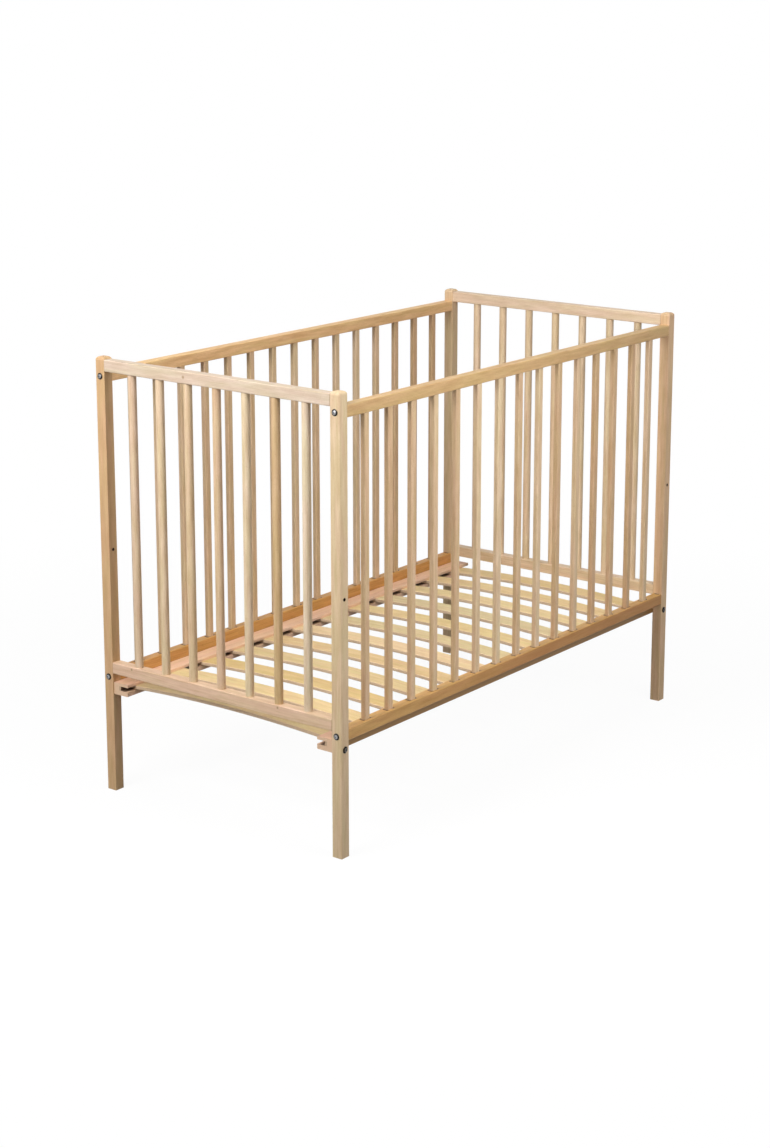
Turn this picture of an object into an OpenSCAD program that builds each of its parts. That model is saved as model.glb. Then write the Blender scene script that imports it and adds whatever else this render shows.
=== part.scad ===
// Wooden baby cot: two glued end frames carry two bolted side frames of upright
// bars, and a slatted bed base that can be bolted at either of two heights.
// X runs along the cot, Y across it, Z up from the floor; the origin is on the
// floor in the middle of the footprint. "foot" is the -X end, "front" the -Y side.

/* [Inside] */
// Clear length between the end frames, as long as the mattress
inside_length = 1200; // [1000:10:1400]
// Clear width between the side frames, as wide as the mattress
inside_width = 600; // [500:10:700]

/* [Posts] */
// Side of the square post
post_side = 24; // [22:1:32]
// Height of the post from the floor to its crown
post_height = 948; // [900:1:1100]
// Radius of the rounded crown on top of the post
crown_radius = 8; // [4:1:9]
// Radius of the post's long edges
post_edge = 1.2; // [0.4:0.2:2.4]

/* [End frames] */
// Height of an end rail's section
end_rail_height = 25; // [22:1:32]
// Thickness of an end rail, flush with the posts' outer faces
end_rail_depth = 23; // [21:1:24]
// Radius of an end rail's long edges
end_rail_edge = 2; // [0.5:0.5:5]
// Height of the bottom end rail above the floor
end_rail_floor = 264; // [260:1:400]
// How far the posts' crowns stand above the top end rail
crown_rise = 5.5; // [0:0.5:20]
// Diameter of the round bars in the end frames
round_bar_d = 18; // [14:1:19]
// Number of round bars in each end frame, with equal gaps of about 60 mm
round_bars = 7; // [6:1:9]

/* [Side frames] */
// Height of a side rail's section
side_rail_height = 25; // [22:1:32]
// Thickness of a side rail, centred on the posts
side_rail_depth = 23; // [18:1:24]
// Radius of a side rail's long edges
side_rail_edge = 2.5; // [0.5:0.5:5]
// Height of the bottom side rail above the floor
side_rail_floor = 243; // [240:1:360]
// How far the top side rail lies below the top end rail
side_drop = 23; // [8:1:60]
// Width of a flat bar along the side
flat_bar_width = 16; // [13:1:20]
// Thickness of a flat bar across the side
flat_bar_depth = 12; // [10:1:14]
// Radius of a flat bar's long edges
flat_bar_edge = 3; // [1:0.5:4]
// Number of flat bars in each side frame, with equal gaps of about 60 mm
flat_bars = 15; // [12:1:18]

/* [Bed base] */
// Height of the base rails' underside above the floor at the low setting
base_floor = 218.5; // [200:0.5:220]
// Distance between the low and the raised setting of the bed base
level_step = 308; // [200:1:340]
// Height of a base rail's section
base_rail_height = 26.5; // [22:0.5:30]
// Width of a base rail, from the posts inwards
base_rail_width = 40; // [32:1:50]
// Length of the base rail beside each post, short of the post's outer face
base_rail_lap = 21; // [18:1:22]
// Radius of the base rail's long edges
base_rail_edge = 1.5; // [0.5:0.5:3]
// Radius of the lower lip's bottom corner
lip_radius = 2; // [1:0.5:5]
// Thickness of the lip above the groove
upper_lip = 6.5; // [4:0.5:7]
// Depth of the groove that holds the slats
groove_depth = 20; // [16:1:22]

/* [Slats] */
// Width of a slat
slat_width = 50; // [38:1:60]
// Thickness of a slat
slat_thick = 8; // [6:0.5:9]
// Rise of the sprung slat from its tips to its middle
slat_rise = 9.5; // [4:0.5:14]
// Number of slats, evenly spaced
slats = 12; // [10:1:14]
// Gap between each outer slat and the posts' inner faces
slat_end_gap = 3; // [2:1:20]
// How far each tip enters the groove
slat_entry = 15; // [10:1:16]
// Radius of a slat's long edges
slat_edge = 2; // [1:0.5:2.5]

/* [Joints] */
// How far the bars enter the rails
bar_seat = 12; // [8:1:16]
// Diameter of the wooden pins between end rails and posts
pin_d = 6; // [5:1:8]
// Length of a wooden pin
pin_length = 30; // [20:1:32]
// Distance between the two pins of a joint
pin_pitch = 12; // [9:1:14]
// Room for glue at the bottom of each socket
glue_room = 0.5; // [0.2:0.1:1.5]
// Free play all round a bar, pin, nut or thread in its hole
fit_play = 0.1; // [0.05:0.05:0.2]
// Free play above and below a slat in the mouth of its groove
slat_play = 0.15; // [0.05:0.05:0.5]

/* [Bolts] */
// Diameter of a bolt's shank
bolt_d = 6; // [5:0.5:6]
// Diameter of the holes that the bolts pass through
bolt_hole_d = 7; // [6.5:0.5:8]
// Length of a side bolt under its head
side_bolt_length = 60; // [55:1:70]
// Length of a base bolt under its head
base_bolt_length = 40; // [34:1:42]
// Height of the base bolts above the base rail's underside
base_bolt_rise = 9; // [6:0.5:12]
// Diameter of a bolt's head
head_d = 14; // [11:1:17]
// Height of a bolt's head
head_height = 3; // [2:0.5:4]
// Height of the straight rim of a bolt's head
head_rim = 0.8; // [0.4:0.2:1.2]
// Width across the flats of the hexagon socket
socket_flats = 4; // [3:1:5]
// Depth of the hexagon socket
socket_depth = 1.8; // [1:0.2:1.8]
// Diameter of a barrel nut
nut_d = 10; // [9:1:12]
// Length of a barrel nut
nut_length = 14; // [12:1:18]
// Distance of a barrel nut from the end of its rail
nut_setback = 28; // [22:1:30]
// Width and depth of the slot that turns a barrel nut
nut_slot = 1.2; // [0.8:0.2:2]
// Outer diameter of a threaded insert in a base rail
insert_d = 8; // [7.5:0.5:9]
// Length of a threaded insert
insert_length = 14; // [10:1:18]

/* [Hidden] */
$fn = 48;

// Centre lines of the posts, rails and bars
post_x = (inside_length + post_side) / 2;
post_y = (inside_width + post_side) / 2;
end_rail_x = inside_length / 2 + post_side - end_rail_depth / 2;

// Heights of the undersides of the four kinds of rail
end_top_floor = post_height - crown_rise - end_rail_height;
side_top_floor = end_top_floor + end_rail_height - side_drop - side_rail_height;
side_levels = [side_rail_floor, side_top_floor];
end_levels = [end_rail_floor, end_top_floor];

// Bars stand with equal clear gaps between each other and to the posts
round_bar_pitch = (inside_width + round_bar_d) / (round_bars + 1);
flat_bar_pitch = (inside_length + flat_bar_width) / (flat_bars + 1);
socket_depth_in_rail = bar_seat + glue_room;

// A slat is an arc, and the groove is as high as the arc needs in its mouth
groove_mouth_y = inside_width / 2 - base_rail_width;
slat_half = groove_mouth_y + slat_entry;
slat_radius = (slat_half * slat_half + slat_rise * slat_rise) / (2 * slat_rise);
slat_angle = asin(slat_half / slat_radius);
slat_top_radius = slat_radius + slat_thick;
mouth_height = sqrt(pow(slat_top_radius, 2) - pow(groove_mouth_y, 2)) - slat_radius + slat_rise;
groove_height = mouth_height + 2 * slat_play;
groove_floor = base_rail_height - upper_lip - groove_height;
slat_seat_z = base_floor + groove_floor + slat_play;
slat_pitch = (inside_length - 2 * slat_end_gap - slat_width) / (slats - 1);
slat_facets = 900;

// Bolts, nuts and pins
base_rail_length = inside_length + 2 * base_rail_lap;
base_bolt_z = base_floor + base_bolt_rise;
base_bolt_levels = [base_bolt_z, base_bolt_z + level_step];
bolt_end_room = 2;
pin_in_post = pin_length / 2 - glue_room;
cut = 1;

beech = "#E3CBA4";
beech_rail = "#DDBF94";
beech_bar = "#D2B38A";
birch_slat = "#E4C894";
zinc = "#B9BDC0";

// Small helpers -----------------------------------------------------------

// Copies the +X +Y corner's piece to the corner with the given signs
module at_corner(sx, sy) {
    mirror([sx < 0 ? 1 : 0, 0, 0])
        mirror([0, sy < 0 ? 1 : 0, 0])
            children();
}

module all_corners() {
    for (sx = [-1, 1], sy = [-1, 1])
        at_corner(sx, sy)
            children();
}

// Rectangle about the origin with four rounded corners
module rounded(size, r) {
    square([size.x - 2 * r, size.y], center = true);
    square([size.x, size.y - 2 * r], center = true);
    for (sx = [-1, 1], sy = [-1, 1])
        translate([sx * (size.x / 2 - r), sy * (size.y / 2 - r)])
            circle(r);
}

// Stock along X or along Y, its underside on z = 0
module stock_x(length, depth, height, edge) {
    translate([0, 0, height / 2])
        rotate([90, 0, 90])
            linear_extrude(length, center = true)
                rounded([depth, height], edge);
}

module stock_y(length, depth, height, edge) {
    rotate([0, 0, 90])
        stock_x(length, depth, height, edge);
}

// Drilled hole or round rod from the origin along +X or +Y
module rod_x(d, length) {
    rotate([0, 90, 0])
        cylinder(d = d, h = length);
}

module rod_y(d, length) {
    rotate([-90, 0, 0])
        cylinder(d = d, h = length);
}

// Posts -------------------------------------------------------------------

// Outline of the post seen from one side, with both top corners rounded
module crown_outline() {
    translate([-post_side / 2, 0])
        square([post_side, post_height - crown_radius]);
    translate([crown_radius - post_side / 2, 0])
        square([post_side - 2 * crown_radius, post_height]);
    for (sx = [-1, 1])
        translate([sx * (post_side / 2 - crown_radius), post_height - crown_radius])
            circle(crown_radius);
}

module crown_prism() {
    rotate([90, 0, 0])
        linear_extrude(post_side, center = true)
            crown_outline();
}

module post_blank() {
    intersection() {
        linear_extrude(post_height)
            rounded([post_side, post_side], post_edge);
        crown_prism();
        rotate([0, 0, 90])
            crown_prism();
    }
}

// Post of the +X +Y corner with its bolt holes, spare holes and pin sockets
module post() {
    difference() {
        translate([post_x, post_y, 0])
            post_blank();
        for (z = side_levels)
            translate([inside_length / 2 - cut, post_y, z + side_rail_height / 2])
                rod_x(bolt_hole_d, post_side + 2 * cut);
        for (z = base_bolt_levels)
            translate([post_x, inside_width / 2 - cut, z])
                rod_y(bolt_hole_d, post_side + 2 * cut);
        for (z = end_levels)
            pin_pair(z)
                translate([0, -cut, 0])
                    rod_y(pin_d + 2 * fit_play, pin_in_post + glue_room + cut);
    }
}

// The two pin places of a joint, on the post's inner face
module pin_pair(rail_floor) {
    for (s = [-1, 1])
        translate([end_rail_x, inside_width / 2, rail_floor + end_rail_height / 2 + s * pin_pitch / 2])
            children();
}

module foot_front_post() { color(beech) at_corner(-1, -1) post(); }
module foot_back_post() { color(beech) at_corner(-1, 1) post(); }
module head_front_post() { color(beech) at_corner(1, -1) post(); }
module head_back_post() { color(beech) at_corner(1, 1) post(); }

// End frames --------------------------------------------------------------

function round_bar_y(i) = (i - (round_bars + 1) / 2) * round_bar_pitch;

// Rail across the +X end; the sockets open upwards (up = 1) or downwards (up = -1)
module end_rail(rail_floor, up) {
    face = up > 0 ? end_rail_height : 0;
    difference() {
        translate([end_rail_x, 0, rail_floor])
            stock_y(inside_width, end_rail_depth, end_rail_height, end_rail_edge);
        for (i = [1:round_bars])
            translate([end_rail_x, round_bar_y(i), rail_floor + face - up * (socket_depth_in_rail - cut) / 2])
                cylinder(d = round_bar_d + 2 * fit_play, h = socket_depth_in_rail + cut, center = true);
        for (sy = [-1, 1])
            at_corner(1, sy)
                pin_pair(rail_floor)
                    translate([0, -pin_in_post - glue_room, 0])
                        rod_y(pin_d + 2 * fit_play, pin_in_post + glue_room + cut);
    }
}

module round_bar(sx, i) {
    color(beech_bar)
        translate([sx * end_rail_x, round_bar_y(i), end_rail_floor + end_rail_height - bar_seat])
            cylinder(d = round_bar_d, h = end_top_floor - end_rail_floor - end_rail_height + 2 * bar_seat);
}

module foot_top_rail() { color(beech_rail) at_corner(-1, 1) end_rail(end_top_floor, -1); }
module foot_bottom_rail() { color(beech_rail) at_corner(-1, 1) end_rail(end_rail_floor, 1); }
module head_top_rail() { color(beech_rail) at_corner(1, 1) end_rail(end_top_floor, -1); }
module head_bottom_rail() { color(beech_rail) at_corner(1, 1) end_rail(end_rail_floor, 1); }

// Wooden pins glued half into the posts and half into the end rails
module frame_pins() {
    color(beech_bar)
        all_corners()
            for (z = end_levels)
                pin_pair(z)
                    translate([0, -pin_in_post, 0])
                        rod_y(pin_d, 2 * pin_in_post);
}

// Side frames -------------------------------------------------------------

function flat_bar_x(i) = (i - (flat_bars + 1) / 2) * flat_bar_pitch;

// Round-ended slot as a cutter of the bar's thickness leaves it
module mortise() {
    straight = flat_bar_width - 2 * flat_bar_edge;
    linear_extrude(socket_depth_in_rail + cut, center = true) {
        square([straight, flat_bar_depth + 2 * fit_play], center = true);
        for (sx = [-1, 1])
            translate([sx * straight / 2, 0])
                circle(d = flat_bar_depth + 2 * fit_play);
    }
}

// Rail of the back side; the mortises open upwards (up = 1) or downwards (up = -1)
module side_rail(rail_floor, up) {
    face = up > 0 ? side_rail_height : 0;
    mid = rail_floor + side_rail_height / 2;
    bolt_reach = side_bolt_length - post_side + bolt_end_room;
    nut_hole = (side_rail_height + nut_length) / 2 + fit_play;
    difference() {
        translate([0, post_y, rail_floor])
            stock_x(inside_length, side_rail_depth, side_rail_height, side_rail_edge);
        for (i = [1:flat_bars])
            translate([flat_bar_x(i), post_y, rail_floor + face - up * (socket_depth_in_rail - cut) / 2])
                mortise();
        for (sx = [-1, 1])
            at_corner(sx, 1) {
                translate([inside_length / 2 - bolt_reach, post_y, mid])
                    rod_x(bolt_hole_d, bolt_reach + cut);
                translate([inside_length / 2 - nut_setback, post_y, rail_floor - cut])
                    cylinder(d = nut_d + 2 * fit_play, h = nut_hole + cut);
            }
    }
}

// All the flat bars of the side with the given sign
module flat_bars_of(sy) {
    bar_floor = side_rail_floor + side_rail_height - bar_seat;
    color(beech_bar)
        for (i = [1:flat_bars])
            translate([flat_bar_x(i), sy * post_y, bar_floor])
                linear_extrude(side_top_floor + bar_seat - bar_floor)
                    rounded([flat_bar_width, flat_bar_depth], flat_bar_edge);
}

module front_top_rail() { color(beech_rail) at_corner(1, -1) side_rail(side_top_floor, -1); }
module front_bottom_rail() { color(beech_rail) at_corner(1, -1) side_rail(side_rail_floor, 1); }
module back_top_rail() { color(beech_rail) at_corner(1, 1) side_rail(side_top_floor, -1); }
module back_bottom_rail() { color(beech_rail) at_corner(1, 1) side_rail(side_rail_floor, 1); }
module front_bars() { flat_bars_of(-1); }
module back_bars() { flat_bars_of(1); }

// Bed base ----------------------------------------------------------------

// Section of the grooved rail: x from the groove's mouth outwards, y up
module base_rail_section() {
    web = base_rail_width - groove_depth;
    difference() {
        translate([base_rail_width, base_rail_height] / 2)
            rounded([base_rail_width, base_rail_height], base_rail_edge);
        translate([-cut, groove_floor])
            square([groove_depth + cut, groove_height]);
        translate([-cut, -cut])
            square(lip_radius + cut);
    }
    translate([lip_radius, lip_radius])
        circle(lip_radius);
    translate([base_rail_width - web, 0])
        square([web / 2, base_rail_height]);
}

module base_rail() {
    difference() {
        translate([0, groove_mouth_y, base_floor])
            rotate([90, 0, 90])
                linear_extrude(base_rail_length, center = true)
                    base_rail_section();
        for (sx = [-1, 1])
            at_corner(sx, 1)
                translate([post_x, inside_width / 2 + cut, base_bolt_z])
                    rotate([0, 0, 180]) {
                        rod_y(insert_d + 2 * fit_play, insert_length + cut);
                        rod_y(bolt_hole_d, base_bolt_length - post_side + bolt_end_room + cut);
                    }
    }
}

module front_base_rail() { color(beech_rail) at_corner(1, -1) base_rail(); }
module back_base_rail() { color(beech_rail) at_corner(1, 1) base_rail(); }

// Sprung slat, bent up in an arc between the two grooves
module slat(i) {
    color(birch_slat)
        translate([(i - (slats + 1) / 2) * slat_pitch, 0, slat_seat_z + slat_rise - slat_radius])
            rotate([0, 90, 0])
                rotate([0, 0, 180 - slat_angle])
                    rotate_extrude(angle = 2 * slat_angle, $fn = slat_facets)
                        translate([slat_radius + slat_thick / 2, 0])
                            rounded([slat_thick, slat_width], slat_edge);
}

// Bolts and nuts ----------------------------------------------------------

// Bolt with its shank along -Z and its domed head above z = 0
module bolt(length) {
    dome = head_height - head_rim;
    dome_radius = (pow(head_d / 2, 2) + pow(dome, 2)) / (2 * dome);
    translate([0, 0, -length])
        cylinder(d = bolt_d, h = length);
    difference() {
        intersection() {
            cylinder(d = head_d, h = head_height);
            translate([0, 0, head_height - dome_radius])
                sphere(dome_radius, $fn = 96);
        }
        translate([0, 0, head_height - socket_depth])
            cylinder(d = socket_flats / cos(30), h = socket_depth + cut, $fn = 6);
    }
}

// Through the posts into the barrel nuts of the side rails
module side_bolts() {
    color(zinc)
        all_corners()
            for (z = side_levels)
                translate([inside_length / 2 + post_side, post_y, z + side_rail_height / 2])
                    rotate([0, 90, 0])
                        bolt(side_bolt_length);
}

// Through the posts into the threaded inserts of the base rails
module base_bolts() {
    color(zinc)
        all_corners()
            translate([post_x, inside_width / 2 + post_side, base_bolt_z])
                rotate([-90, 0, 0])
                    bolt(base_bolt_length);
}

// Cross dowels, put in from the side rails' undersides
module barrel_nuts() {
    color(zinc)
        all_corners()
            for (z = side_levels)
                translate([inside_length / 2 - nut_setback, post_y, z + side_rail_height / 2])
                    difference() {
                        cylinder(d = nut_d, h = nut_length, center = true);
                        translate([-nut_d, 0, 0])
                            rod_x(bolt_d + 2 * fit_play, 2 * nut_d);
                        translate([0, 0, -nut_length / 2])
                            cube([2 * nut_d, nut_slot, 2 * nut_slot], center = true);
                    }
}

module base_inserts() {
    color(zinc)
        all_corners()
            translate([post_x, inside_width / 2 - insert_length, base_bolt_z])
                difference() {
                    rod_y(insert_d, insert_length);
                    translate([0, -cut, 0])
                        rod_y(bolt_d + 2 * fit_play, insert_length + 2 * cut);
                }
}

// Node list ---------------------------------------------------------------

foot_front_post();
foot_back_post();
head_front_post();
head_back_post();
foot_top_rail();
foot_bottom_rail();
head_top_rail();
head_bottom_rail();
for (i = [1:round_bars]) {
    round_bar(-1, i);
    round_bar(1, i);
}
front_top_rail();
front_bottom_rail();
back_top_rail();
back_bottom_rail();
front_bars();
back_bars();
front_base_rail();
back_base_rail();
for (i = [1:slats]) {
    slat(i);
}
frame_pins();
side_bolts();
base_bolts();
barrel_nuts();
base_inserts();
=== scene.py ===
# A wooden baby cot of natural beech: two glued end frames, two bolted side frames of upright
# bars, and a bed base of sprung slats held in the grooves of two rails.
import math

import bpy
from mathutils import Matrix, Vector


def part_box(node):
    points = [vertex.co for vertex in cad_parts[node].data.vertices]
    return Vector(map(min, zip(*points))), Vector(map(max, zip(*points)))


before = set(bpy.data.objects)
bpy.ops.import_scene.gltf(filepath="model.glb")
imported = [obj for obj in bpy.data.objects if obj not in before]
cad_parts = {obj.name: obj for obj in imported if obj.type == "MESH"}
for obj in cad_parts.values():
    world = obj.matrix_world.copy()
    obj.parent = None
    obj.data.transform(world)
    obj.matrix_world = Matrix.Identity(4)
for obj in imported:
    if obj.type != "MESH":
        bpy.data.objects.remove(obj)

scene = bpy.context.scene
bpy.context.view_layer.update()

# Camera --------------------------------------------------------------------------------------
# Eye height of a standing adult, five metres off the foot end's front corner, with a long
# lens. The cot stands a little low and to the right of the lens axis, so the lens is shifted.
MM = 0.001
camera_place = Vector((-3853.3, -2927.2, 1747.1)) * MM
camera_heading = math.radians(36.962)
camera_dip = math.radians(12.821)
camera_roll = math.radians(0.132)
ahead = Vector((
    math.cos(camera_dip) * math.cos(camera_heading),
    math.cos(camera_dip) * math.sin(camera_heading),
    -math.sin(camera_dip),
))
level_right = ahead.cross(Vector((0, 0, 1))).normalized()
level_up = level_right.cross(ahead)
right = level_right * math.cos(camera_roll) + level_up * math.sin(camera_roll)
up = level_up * math.cos(camera_roll) - level_right * math.sin(camera_roll)
lens = bpy.data.cameras.new("camera")
lens.sensor_width = 36
lens.lens = 69.72
lens.shift_x = -0.0237
lens.shift_y = -0.0936
camera = bpy.data.objects.new("camera", lens)
camera.matrix_world = Matrix.Translation(camera_place) @ Matrix((right, up, -ahead)).transposed().to_4x4()
scene.collection.objects.link(camera)
scene.camera = camera
scene.view_settings.view_transform = "Standard"


# Studio --------------------------------------------------------------------------------------
# A white paper sweep among five soft boxes: two on the left, two before the front side and one
# overhead. Lens and gloss see the paper lit evenly from behind, and it still keeps a faint shadow
# under the cot.
def linear(hex_colour):
    """The linear RGBA of an sRGB hex colour."""
    channels = [int(hex_colour[i:i + 2], 16) / 255 for i in (1, 3, 5)]
    return [c / 12.92 if c <= 0.04045 else ((c + 0.055) / 1.055) ** 2.4 for c in channels] + [1]


def add_node(tree, kind, settings=None, links=None):
    """A new node with its settings, by property or socket name, and what its sockets are fed from."""
    node = tree.nodes.new("ShaderNode" + kind)
    for name, value in (settings or {}).items():
        if hasattr(node, str(name)):
            setattr(node, name, value)
        else:
            node.inputs[name].default_value = value
    for name, source in (links or {}).items():
        tree.links.new(source, node.inputs[name])
    return node


def new_material(name):
    """An empty node material and its tree."""
    material = bpy.data.materials.new(name)
    material.use_nodes = True
    material.node_tree.nodes.clear()
    return material, material.node_tree


def soft_box(name, place, target, size, watts):
    """A square area lamp of a size in metres, turned from its place to a target."""
    lamp = bpy.data.lights.new(name, "AREA")
    lamp.shape = "SQUARE"
    lamp.size = size
    lamp.energy = watts
    holder = bpy.data.objects.new(name, lamp)
    holder.location = place
    holder.rotation_mode = "QUATERNION"
    holder.rotation_quaternion = (Vector(target) - Vector(place)).to_track_quat("-Z", "Y")
    scene.collection.objects.link(holder)


def rays_that_see(tree):
    """1 for rays of the lens, of gloss and through glass, which see the paper; 0 for light on the cot."""
    rays = add_node(tree, "LightPath")
    lens_or_gloss = add_node(tree, "Math", {"operation": "MAXIMUM"},
                             {0: rays.outputs["Is Camera Ray"], 1: rays.outputs["Is Glossy Ray"]})
    seen = add_node(tree, "Math", {"operation": "MAXIMUM"},
                    {0: lens_or_gloss.outputs[0], 1: rays.outputs["Is Transmission Ray"]})
    return seen.outputs[0]


room_light, white_light = 0.03, 1.0
world = bpy.data.worlds.new("studio")
scene.world = world
world.use_nodes = True
room = world.node_tree
room.nodes.clear()
strength = add_node(room, "MapRange", {"To Min": room_light, "To Max": white_light},
                    {"Value": rays_that_see(room)})
walls = add_node(room, "Background", {"Color": linear("#FFFFFF")}, {"Strength": strength.outputs[0]})
add_node(room, "OutputWorld", {}, {"Surface": walls.outputs[0]})

soft_box("high_left_box", (-3.0, 0.2, 2.8), (0, 0, 0.6), 1.5, 57)
soft_box("left_box", (-1.95, 0.15, 1.5), (0, 0, 0.6), 1.1, 20.5)
soft_box("front_box", (-0.35, -1.65, 1.25), (0, 0, 0.6), 1.0, 20)
soft_box("high_front_box", (0, -2, 3.8), (0, 0, 0.4), 2.0, 12)
soft_box("top_box", (-0.3, 0, 7.0), (0, 0, 0.3), 3.7, 145)

sweep_half = 14
sweep_mesh = bpy.data.meshes.new("sweep")
sweep_mesh.from_pydata(
    [(x * sweep_half, y * sweep_half, 0) for x, y in ((-1, -1), (1, -1), (1, 1), (-1, 1))],
    [], [(0, 1, 2, 3)])
sweep = bpy.data.objects.new("sweep", sweep_mesh)
scene.collection.objects.link(sweep)
# matt white paper lit from behind: near the cot a twentieth of what is seen is the lit paper
# itself, which holds the shadow, and further out nothing but the even white
sweep_paint, tree = new_material("white_paper_sweep")
seen = rays_that_see(tree)
# it throws back less light than it shows, so that the undersides stay in shade
paper_tone = add_node(tree, "Mix", {"data_type": "RGBA", 6: linear("#6C6C6C"), 7: linear("#FAFAFA")},
                      {0: seen})
paper = add_node(tree, "BsdfDiffuse", {}, {"Color": paper_tone.outputs[2]})
glow = add_node(tree, "Emission", {"Color": linear("#FFFFFF"), "Strength": white_light})
here = add_node(tree, "TexCoord")
from_cot = add_node(tree, "VectorMath", {"operation": "LENGTH"}, {0: here.outputs["Object"]})
shadow_whole, shadow_gone = 0.7, 2.2  # metres from the middle of the cot
evenness = add_node(tree, "MapRange", {
    "interpolation_type": "SMOOTHSTEP", "From Min": shadow_whole, "From Max": shadow_gone,
    "To Min": 0.95}, {"Value": from_cot.outputs["Value"]})
glow_share = add_node(tree, "Math", {"operation": "MULTIPLY"}, {0: seen, 1: evenness.outputs[0]})
both = add_node(tree, "MixShader", {},
                {0: glow_share.outputs[0], 1: paper.outputs[0], 2: glow.outputs[0]})
add_node(tree, "OutputMaterial", {}, {"Surface": both.outputs[0]})
sweep_mesh.materials.append(sweep_paint)


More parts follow.
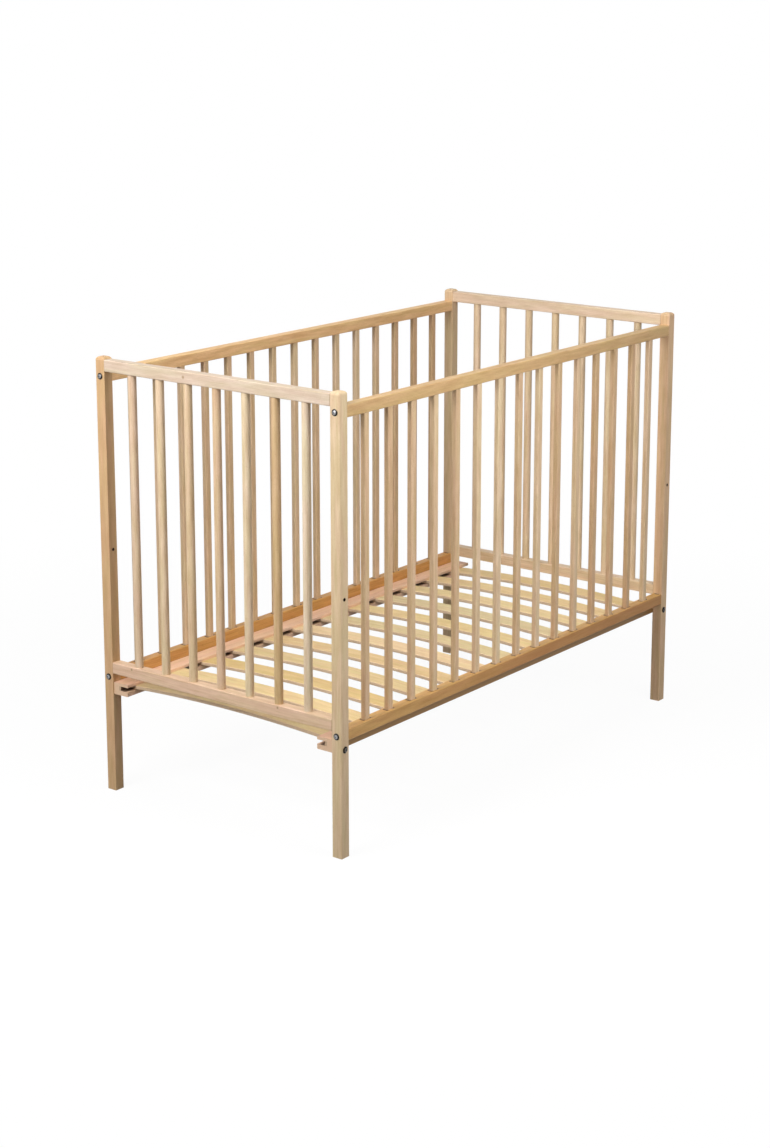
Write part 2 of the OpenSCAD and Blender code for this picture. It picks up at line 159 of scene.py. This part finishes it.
# Posts ---------------------------------------------------------------------------------------
# Square beech posts, planed and sanded, their crowns rounded over, under a thin matt varnish.
# Beech is pale straw to pink, with faint growth rings and short dark flecks of ray tissue.
def planed_wood(name, along, pale, dark, fleck, cell=None):
    """Solid wood with its grain along an axis.

    Where one node holds many pieces, cell is the axis that they follow each other on, and their
    pitch in metres. Patterns are given by how many there are to the metre, across and along.
    """
    material, tree = new_material(name)
    place = add_node(tree, "TexCoord")
    split = add_node(tree, "SeparateXYZ", {}, {0: place.outputs["Object"]})
    timber = add_node(tree, "Attribute", {"attribute_type": "OBJECT", "attribute_name": "timber"})
    seed = timber.outputs["Fac"]
    if cell:
        axis, pitch = cell
        steps = add_node(tree, "Math", {"operation": "DIVIDE", 1: pitch}, {0: split.outputs[axis]})
        number = add_node(tree, "Math", {"operation": "ROUND"}, {0: steps.outputs[0]})
        seed = add_node(tree, "Math", {"operation": "ADD"}, {0: number.outputs[0], 1: seed}).outputs[0]
    cut_from = add_node(tree, "TexWhiteNoise", {"noise_dimensions": "1D"}, {"W": seed})

    # the piece's own place in the tree: across, across, along
    across = [axis for axis in "XYZ" if axis != along]
    in_tree = add_node(tree, "CombineXYZ", {}, {
        0: split.outputs[across[0]], 1: split.outputs[across[1]], 2: split.outputs[along]})
    log_size, off_pith = (0.16, 0.16, 4.0), (0.03, 0.02, 0.0)
    offset = add_node(tree, "VectorMath", {"operation": "MULTIPLY_ADD", 1: log_size, 2: off_pith},
                      {0: cut_from.outputs["Color"]})
    log = add_node(tree, "VectorMath", {"operation": "ADD"},
                   {0: in_tree.outputs[0], 1: offset.outputs[0]})

    # growth rings round the pith, pulled out of true by up to 20 mm in bends 110 mm across and
    # 600 mm along
    ring_width, out_of_true = 3 * MM, (0.02, 0.02, 0)
    slow = add_node(tree, "VectorMath", {"operation": "MULTIPLY", 1: (9, 9, 1.6)}, {0: log.outputs[0]})
    bend = add_node(tree, "TexNoise", {"Scale": 1.0, "Detail": 2.0}, {"Vector": slow.outputs[0]})
    bent = add_node(tree, "VectorMath", {"operation": "MULTIPLY_ADD", 1: out_of_true},
                    {0: bend.outputs["Color"], 2: log.outputs[0]})
    radius = add_node(tree, "VectorMath", {"operation": "MULTIPLY", 1: (1, 1, 0)},
                      {0: bent.outputs[0]})
    # the node makes 10 / pi rings to the metre for each 1 of its scale
    rings = add_node(tree, "TexWave", {
        "wave_type": "RINGS", "rings_direction": "SPHERICAL", "wave_profile": "SAW",
        "Scale": math.pi / (10 * ring_width)}, {"Vector": radius.outputs[0]})

    # fibres: 1.4 mm wide and 70 mm long, several times the real ones, which are too fine to show
    fine = add_node(tree, "VectorMath", {"operation": "MULTIPLY", 1: (700, 700, 14)},
                    {0: log.outputs[0]})
    fibres = add_node(tree, "TexNoise", {"Scale": 1.0, "Detail": 3.0, "Roughness": 0.6},
                      {"Vector": fine.outputs[0]})
    # streaks 8 mm wide and 70 mm long
    broad = add_node(tree, "VectorMath", {"operation": "MULTIPLY", 1: (120, 120, 14)},
                     {0: log.outputs[0]})
    streaks = add_node(tree, "TexNoise", {"Scale": 1.0, "Detail": 3.0, "Roughness": 0.6},
                       {"Vector": broad.outputs[0]})
    streak = add_node(tree, "MapRange", {"From Min": 0.33, "From Max": 0.67},
                      {"Value": streaks.outputs["Fac"]})
    # drifts from pink to olive, 17 mm wide and 110 mm long
    slower = add_node(tree, "VectorMath", {"operation": "MULTIPLY", 1: (60, 60, 9)},
                      {0: log.outputs[0]})
    drifts = add_node(tree, "TexNoise", {"Scale": 1.0, "Detail": 1.0}, {"Vector": slower.outputs[0]})
    drift = add_node(tree, "MapRange", {"From Min": 0.4, "From Max": 0.62},
                     {"Value": drifts.outputs["Fac"]})

    # ray flecks: lens shapes about half a millimetre by two, where a finer noise peaks
    fleck_strength = 0.55
    short = add_node(tree, "VectorMath", {"operation": "MULTIPLY", 1: (1500, 1500, 330)},
                     {0: log.outputs[0]})
    specks = add_node(tree, "TexNoise", {"Scale": 1.0, "Detail": 1.0}, {"Vector": short.outputs[0]})
    flecks = add_node(tree, "MapRange", {"From Min": 0.64, "From Max": 0.74, "To Max": fleck_strength},
                      {"Value": specks.outputs["Fac"]})

    # colour: how much of the way from pale to dark each pattern takes the wood
    ring_share, fibre_share, streak_share = 0.25, 0.3, 0.55
    tone_rings = add_node(tree, "Math", {"operation": "MULTIPLY", 1: ring_share},
                          {0: rings.outputs["Fac"]})
    tone_fibres = add_node(tree, "Math", {"operation": "MULTIPLY_ADD", 1: fibre_share},
                           {0: fibres.outputs["Fac"], 2: tone_rings.outputs[0]})
    tone = add_node(tree, "Math", {"operation": "MULTIPLY_ADD", 1: streak_share, "use_clamp": True},
                    {0: streak.outputs[0], 2: tone_fibres.outputs[0]})
    grain = add_node(tree, "Mix", {"data_type": "RGBA", 6: linear(pale), 7: linear(dark)},
                     {0: tone.outputs[0]})
    hue = add_node(tree, "Mix", {"data_type": "RGBA", 6: linear("#FDF9F8"), 7: linear("#F9FAF1")},
                   {0: drift.outputs[0]})
    drifted = add_node(tree, "Mix", {"data_type": "RGBA", "blend_type": "MULTIPLY", 0: 1.0},
                       {6: grain.outputs[2], 7: hue.outputs[2]})
    flecked = add_node(tree, "Mix", {"data_type": "RGBA", 7: linear(fleck)},
                       {0: flecks.outputs[0], 6: drifted.outputs[2]})
    # some timbers are paler, pinker or browner than others
    tint = add_node(tree, "Attribute", {"attribute_type": "OBJECT", "attribute_name": "tint"})
    tinted = add_node(tree, "Mix", {"data_type": "RGBA", "blend_type": "MULTIPLY", 0: 1.0},
                      {6: flecked.outputs[2], 7: tint.outputs["Color"]})
    if cell:
        tan = add_node(tree, "MapRange", {"To Max": 0.8}, {"Value": cut_from.outputs["Value"]})
        tinted = add_node(tree, "Mix", {"data_type": "RGBA", "blend_type": "MULTIPLY", 7: linear("#E2CFBC")},
                          {0: tan.outputs[0], 6: tinted.outputs[2]})

    # surface: sanded fibres, a little raised, under a varnish that leaves a soft sheen
    relief = 0.08 * MM
    rough = add_node(tree, "MapRange", {"To Min": 0.42, "To Max": 0.58},
                     {"Value": fibres.outputs["Fac"]})
    height = add_node(tree, "Math", {"operation": "SUBTRACT"},
                      {0: fibres.outputs["Fac"], 1: flecks.outputs[0]})
    bump = add_node(tree, "Bump", {"Strength": 0.25, "Distance": relief}, {"Height": height.outputs[0]})
    shader = add_node(tree, "BsdfPrincipled", {"name": "surface"}, {
        "Base Color": tinted.outputs[2], "Roughness": rough.outputs[0], "Normal": bump.outputs[0]})
    add_node(tree, "OutputMaterial", {}, {"Surface": shader.outputs[0]})
    return material


def stain_or_painted_shade(material, colour, strength, *masks):
    """Covers a wood's colour with a stain or painted shade where every mask is 1, wholly at strength 1."""
    tree = material.node_tree
    share = add_node(tree, "Math", {"operation": "MULTIPLY", 1: strength}, {0: masks[0].outputs[0]})
    for mask in masks[1:]:
        share = add_node(tree, "Math", {"operation": "MULTIPLY"},
                         {0: share.outputs[0], 1: mask.outputs[0]})
    colour_in = tree.nodes["surface"].inputs["Base Color"]
    over = add_node(tree, "Mix", {"data_type": "RGBA", 7: linear(colour)},
                    {0: share.outputs[0], 6: colour_in.links[0].from_socket})
    tree.links.new(over.outputs[2], colour_in)


def dress(tints, material, first_timber):
    """Gives CAD nodes their material, and each a timber of its own: its log and its tint."""
    next_timber = 17.3  # more than the 15 bars of one node use up
    for step, (name, tint) in enumerate(tints.items()):
        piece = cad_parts[name]
        piece["timber"] = first_timber + next_timber * step
        piece["tint"] = linear(tint)[:3]
        for index in range(len(piece.data.materials)):
            piece.material_slots[index].material = material


# sanded beech: the palest wood of the cot, straw-coloured, with soft streaks
post_beech = planed_wood("varnished_beech_post", "Z", "#EAD0AF", "#CEB08A", "#B98F62")
tree = post_beech.node_tree
at = add_node(tree, "SeparateXYZ", {}, {0: add_node(tree, "TexCoord").outputs["Object"]})
foot_low, foot_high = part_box("foot_front_post")
from_middle = add_node(tree, "Math", {"operation": "ABSOLUTE"}, {0: at.outputs["X"]})
off_axis = add_node(tree, "CombineXYZ", {}, {0: from_middle.outputs[0], 2: at.outputs["Z"]})
# the spare hole that takes the base bolt at the raised setting; its walls are painted near black, painted
# shade inside the hole
hole_height, hole_radius = 535.5 * MM, 3.7 * MM
axis = (abs(foot_low.x + foot_high.x) / 2, 0, hole_height)
from_hole = add_node(tree, "VectorMath", {"operation": "DISTANCE", 1: axis}, {0: off_axis.outputs[0]})
painted_shade_in_hole = add_node(tree, "Math", {"operation": "LESS_THAN", 1: hole_radius}, {0: from_hole.outputs["Value"]})
stain_or_painted_shade(post_beech, "#3A2413", 1.0, painted_shade_in_hole)
dress({
    "foot_front_post": "#FCFFFF", "foot_back_post": "#EFE1D1",
    "head_front_post": "#FFF6F1", "head_back_post": "#FFFFFB",
}, post_beech, 1.0)

# End frames ----------------------------------------------------------------------------------
# Beech rails glued and pinned between the posts, flush with their outer faces, and turned
# round bars let into them at full diameter. A few pin knots show, and a hairline at each joint.

# sanded beech, a shade pinker than the posts
end_beech = planed_wood("varnished_beech_end_rail", "Y", "#F5DFC9", "#D2B696", "#B98F62")
tree = end_beech.node_tree
place = add_node(tree, "TexCoord").outputs["Object"]
at = add_node(tree, "SeparateXYZ", {}, {0: place})
# each knot's place on the foot end's outer face and its radius, in millimetres
knots = (((-624, 244, 284), 3.5), ((-624, -160, 284), 3.5), ((-624, 79, 931), 4.5))
for middle, radius in knots:
    away = add_node(tree, "VectorMath", {"operation": "DISTANCE", 1: [c * MM for c in middle]}, {0: place})
    knot = add_node(tree, "MapRange", {"From Min": radius * MM, "From Max": 0.4 * radius * MM},
                    {"Value": away.outputs["Value"]})
    stain_or_painted_shade(end_beech, "#8E6B3E", 0.65, knot)
rail_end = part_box("foot_top_rail")[1].y
hairline = 0.9 * MM  # wider than the real line, so that it shows
from_middle = add_node(tree, "Math", {"operation": "ABSOLUTE"}, {0: at.outputs["Y"]})
joint = add_node(tree, "Math", {"operation": "COMPARE", 1: rail_end, 2: hairline},
                 {0: from_middle.outputs[0]})
stain_or_painted_shade(end_beech, "#9A7348", 0.45, joint)
dress({
    "foot_top_rail": "#EAEEF5", "foot_bottom_rail": "#F9EFEA",
    "head_top_rail": "#FFFFFF", "head_bottom_rail": "#FAF8F2",
}, end_beech, 101.0)
# turned beech: as pale as the posts, each bar of its own shade
round_beech = planed_wood("turned_beech_bar", "Z", "#F6E5CE", "#D1B997", "#B08A5E")
dress({
    "foot_bar_1": "#FFFFFF", "foot_bar_2": "#E6D6BC", "foot_bar_3": "#FCF9F3",
    "foot_bar_4": "#F3E6DC", "foot_bar_5": "#F6EDE2", "foot_bar_6": "#F9F3EB",
    "foot_bar_7": "#F5ECE9", "head_bar_1": "#FBF6EF", "head_bar_2": "#FFFBF4",
    "head_bar_3": "#FFFBF2", "head_bar_4": "#FFF6EC", "head_bar_5": "#FEF7F1",
    "head_bar_6": "#FEF6EE", "head_bar_7": "#FFF8F3", "frame_pins": "#F2E9E1",
}, round_beech, 201.0)

# Side frames ---------------------------------------------------------------------------------
# Beech rails with flat, round-edged bars in mortises, bolted between the posts. The cutter left
# the mortises round, so a little gap stays open on each side of a bar's foot; its shade is painted dark.

# sanded beech from nearer the heart: honey brown, with the same soft sheen
side_beech = planed_wood("varnished_beech_side_rail", "X", "#FFD8A4", "#D5A770", "#9C7146")
bars_low, bars_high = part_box("front_bars")
bar_width, bars_a_side = 16 * MM, 15
bar_pitch = (bars_high.x - bars_low.x - bar_width) / (bars_a_side - 1)
bar_row = abs(bars_low.y + bars_high.y) / 2
tree = side_beech.node_tree
at = add_node(tree, "SeparateXYZ", {}, {0: add_node(tree, "TexCoord").outputs["Object"]})
# the painted shade of each gap is drawn a millimetre and a half longer than the gap, so that it shows
mortise_half_length, mortise_half_width = 12.8 * MM, 6.2 * MM
from_bar = add_node(tree, "Math", {"operation": "PINGPONG", 1: bar_pitch / 2}, {0: at.outputs["X"]})
from_middle = add_node(tree, "Math", {"operation": "ABSOLUTE"}, {0: at.outputs["Y"]})
beside_bar = add_node(tree, "Math", {"operation": "COMPARE", 1: 0, 2: mortise_half_length},
                      {0: from_bar.outputs[0]})
in_row = add_node(tree, "Math", {"operation": "COMPARE", 1: bar_row, 2: mortise_half_width},
                  {0: from_middle.outputs[0]})
# painted shade: only the faces that the bars go into get it, and the first 6 mm of the mortises' walls
into_rail = 6 * MM
low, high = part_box("front_bottom_rail")[1].z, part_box("front_top_rail")[0].z
between_rails = add_node(tree, "Math", {
    "operation": "COMPARE", 1: (low + high) / 2, 2: (high - low) / 2 + into_rail}, {0: at.outputs["Z"]})
# painted shade: the gaps beside the bars' feet are painted near black
stain_or_painted_shade(side_beech, "#4A2A16", 1.0, beside_bar, in_row, between_rails)
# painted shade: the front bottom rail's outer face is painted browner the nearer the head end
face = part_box("front_bottom_rail")[0].y
skin = 0.5 * MM  # how near to a face its painted shade begins
shade_starts_at, shade_full_at = -580 * MM, 50 * MM
on_face = add_node(tree, "Math", {"operation": "LESS_THAN", 1: face + skin}, {0: at.outputs["Y"]})
low_rail = add_node(tree, "Math", {"operation": "LESS_THAN", 1: low}, {0: at.outputs["Z"]})
painted_shade_to_head = add_node(tree, "MapRange", {"From Min": shade_starts_at, "From Max": shade_full_at},
                   {"Value": at.outputs["X"]})
stain_or_painted_shade(side_beech, "#9C5404", 0.5, on_face, low_rail, painted_shade_to_head)
dress({
    "front_top_rail": "#E1E3DE", "front_bottom_rail": "#DED4B6",
    "back_top_rail": "#FFFFFF", "back_bottom_rail": "#E3CFA3",
}, side_beech, 301.0)
# planed beech from many boards: some bars are pale, others tan
flat_beech = planed_wood("planed_beech_bar", "Z", "#F7E0C2", "#D4B790", "#AC845A", cell=("X", bar_pitch))
dress({
    "front_bars": "#FFFFFF", "back_bars": "#FFFFFF",
}, flat_beech, 401.0)

# Bed base ------------------------------------------------------------------------------------
# Pinkish beech rails, planed but not varnished, with a groove along each for the ends of the
# slats. Painted shade darkens the inside of the groove and the outer faces under the side to brown.

# planed beech, steamed to a pale pink
base_beech = planed_wood("planed_beech_base_rail", "X", "#FFDAC0", "#E3B997", "#A67C55")
tree = base_beech.node_tree
at = add_node(tree, "SeparateXYZ", {}, {0: add_node(tree, "TexCoord").outputs["Object"]})
from_middle = add_node(tree, "Math", {"operation": "ABSOLUTE"}, {0: at.outputs["Y"]})
low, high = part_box("back_base_rail")
mouth, outer = low.y, high.y
# painted shade in the groove: it sets in behind the mouth of the groove and ends at its back
groove_middle, groove_half, back_wall = 233.8 * MM, 5 * MM, 15 * MM
groove_shade_from, groove_shade_full = mouth + 3 * MM, mouth + 9 * MM
in_groove = add_node(tree, "Math", {"operation": "COMPARE", 1: groove_middle, 2: groove_half},
                     {0: at.outputs["Z"]})
depth = add_node(tree, "MapRange", {"From Min": groove_shade_from, "From Max": groove_shade_full},
                 {"Value": from_middle.outputs[0]})
before_wall = add_node(tree, "Math", {"operation": "LESS_THAN", 1: outer - back_wall},
                       {0: from_middle.outputs[0]})
stain_or_painted_shade(base_beech, "#3E2817", 0.9, in_groove, depth, before_wall)
# painted shade: the outer face, in shadow under the side rail, is painted dark brown
at_face = add_node(tree, "Math", {"operation": "GREATER_THAN", 1: outer - skin},
                   {0: from_middle.outputs[0]})
stain_or_painted_shade(base_beech, "#997444", 1.0, at_face)
# the sawn ends are greyer, dry end grain
along = add_node(tree, "Math", {"operation": "ABSOLUTE"}, {0: at.outputs["X"]})
end_grain = add_node(tree, "Math", {"operation": "GREATER_THAN", 1: high.x - 0.3 * MM},
                     {0: along.outputs[0]})
stain_or_painted_shade(base_beech, "#D6B696", 0.7, end_grain)
dress({
    "front_base_rail": "#FFFFFF", "back_base_rail": "#FFFFFF",
}, base_beech, 501.0)

# Slats ---------------------------------------------------------------------------------------
# Six yellow birch veneers pressed to an arc. Their cut edges are paler and pinker than the faces,
# with a fine brown line of glue between two veneers.

# peeled birch, smooth from the press: yellow, with faint streaks across the cot
slat_birch = planed_wood("pressed_birch_slat", "Y", "#FFEBBD", "#E5C795", "#BE965C")
slat_thickness, veneers = 8 * MM, 6
lowest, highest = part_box("slat_1")
half_length = highest.y
rise = highest.z - lowest.z - slat_thickness
arc_radius = (half_length ** 2 + rise ** 2) / (2 * rise)
arc_centre = highest.z - slat_thickness - arc_radius
tree = slat_birch.node_tree
place = add_node(tree, "TexCoord")
# the cut edges are where the surface faces along the cot
facing = add_node(tree, "SeparateXYZ", {}, {0: place.outputs["Normal"]})
sideways = add_node(tree, "Math", {"operation": "ABSOLUTE"}, {0: facing.outputs["X"]})
cut_edge = add_node(tree, "Math", {"operation": "GREATER_THAN", 1: 0.6}, {0: sideways.outputs[0]})
stain_or_painted_shade(slat_birch, "#EBCFAE", 1.0, cut_edge)
# the lines of glue follow the arc; they are drawn twice as wide as they are, so that they show
glue_half = 0.12 * MM
across = add_node(tree, "VectorMath", {"operation": "MULTIPLY_ADD", 1: (0, 1, 1), 2: (0, 0, -arc_centre)},
                  {0: place.outputs["Object"]})
from_centre = add_node(tree, "VectorMath", {"operation": "LENGTH"}, {0: across.outputs[0]})
above = add_node(tree, "Math", {"operation": "SUBTRACT", 1: arc_radius}, {0: from_centre.outputs["Value"]})
from_glue = add_node(tree, "Math", {"operation": "PINGPONG", 1: slat_thickness / veneers / 2},
                     {0: above.outputs[0]})
glue_line = add_node(tree, "Math", {"operation": "COMPARE", 1: 0, 2: glue_half}, {0: from_glue.outputs[0]})
stain_or_painted_shade(slat_birch, "#A9835A", 1.0, glue_line, cut_edge)
dress({
    "slat_1": "#EFEFE7", "slat_2": "#F7F5EC", "slat_3": "#E9E3CA", "slat_4": "#ECEBE1",
    "slat_5": "#F1EAE0", "slat_6": "#FFFCFF", "slat_7": "#EFF3EF", "slat_8": "#FAF8E9",
    "slat_9": "#F0F6F6", "slat_10": "#FEFFF8", "slat_11": "#F8F5EA", "slat_12": "#F2F0E4",
}, slat_birch, 601.0)

# Bolts and nuts ------------------------------------------------------------------------------
# Zinc-plated steel, cold-headed and tumbled: a satin shine with faint clouding. The ring round the
# crown of a domed head is painted dark as a painted reflection, and the base bolts darker still.
zinc, tree = new_material("zinc_plated_steel")
place = add_node(tree, "TexCoord")
# clouds 1.4 mm across
cloud = add_node(tree, "TexNoise", {"Scale": 700.0, "Detail": 3.0}, {"Vector": place.outputs["Object"]})
at = add_node(tree, "SeparateXYZ", {}, {0: place.outputs["Object"]})
facing = add_node(tree, "SeparateXYZ", {}, {0: place.outputs["Normal"]})
from_middle = add_node(tree, "Math", {"operation": "ABSOLUTE"}, {0: at.outputs["X"]})
# a head beyond the end frames faces along the cot, any other across it
end_face = abs(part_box("foot_front_post")[0].x)
on_end = add_node(tree, "Math", {"operation": "GREATER_THAN", 1: end_face}, {0: from_middle.outputs[0]})
outward = add_node(tree, "Mix", {"data_type": "FLOAT"},
                   {0: on_end.outputs[0], 2: facing.outputs["Y"], 3: facing.outputs["X"]})
straight_out = add_node(tree, "Math", {"operation": "ABSOLUTE"}, {0: outward.outputs[0]})
# painted reflection: away from the crown the head is painted near black, for the dark surroundings it
# mirrors
crown = add_node(tree, "MapRange", {"From Min": 0.91, "From Max": 0.98},
                 {"Value": straight_out.outputs[0]})
bright = add_node(tree, "Mix", {"data_type": "RGBA", 6: linear("#9C9DA0"), 7: linear("#C6C6C8")},
                  {0: cloud.outputs["Fac"]})
shade = add_node(tree, "Mix", {"data_type": "RGBA", 6: linear("#2F2C29")},
                 {0: crown.outputs[0], 7: bright.outputs[2]})
rough = add_node(tree, "MapRange", {"To Min": 0.22, "To Max": 0.40}, {"Value": cloud.outputs["Fac"]})
tint = add_node(tree, "Attribute", {"attribute_type": "OBJECT", "attribute_name": "tint"})
tinted = add_node(tree, "Mix", {"data_type": "RGBA", "blend_type": "MULTIPLY", 0: 1.0},
                  {6: shade.outputs[2], 7: tint.outputs["Color"]})
shader = add_node(tree, "BsdfPrincipled", {"Metallic": 1.0},
                  {"Base Color": tinted.outputs[2], "Roughness": rough.outputs[0]})
add_node(tree, "OutputMaterial", {}, {"Surface": shader.outputs[0]})
# painted reflection: the base bolts' tint darkens them, for the darker surroundings they face
dress({
    "side_bolts": "#FFFFFF", "base_bolts": "#A59E95", "barrel_nuts": "#F4F4F4", "base_inserts": "#F4F4F4",
}, zinc, 701.0)
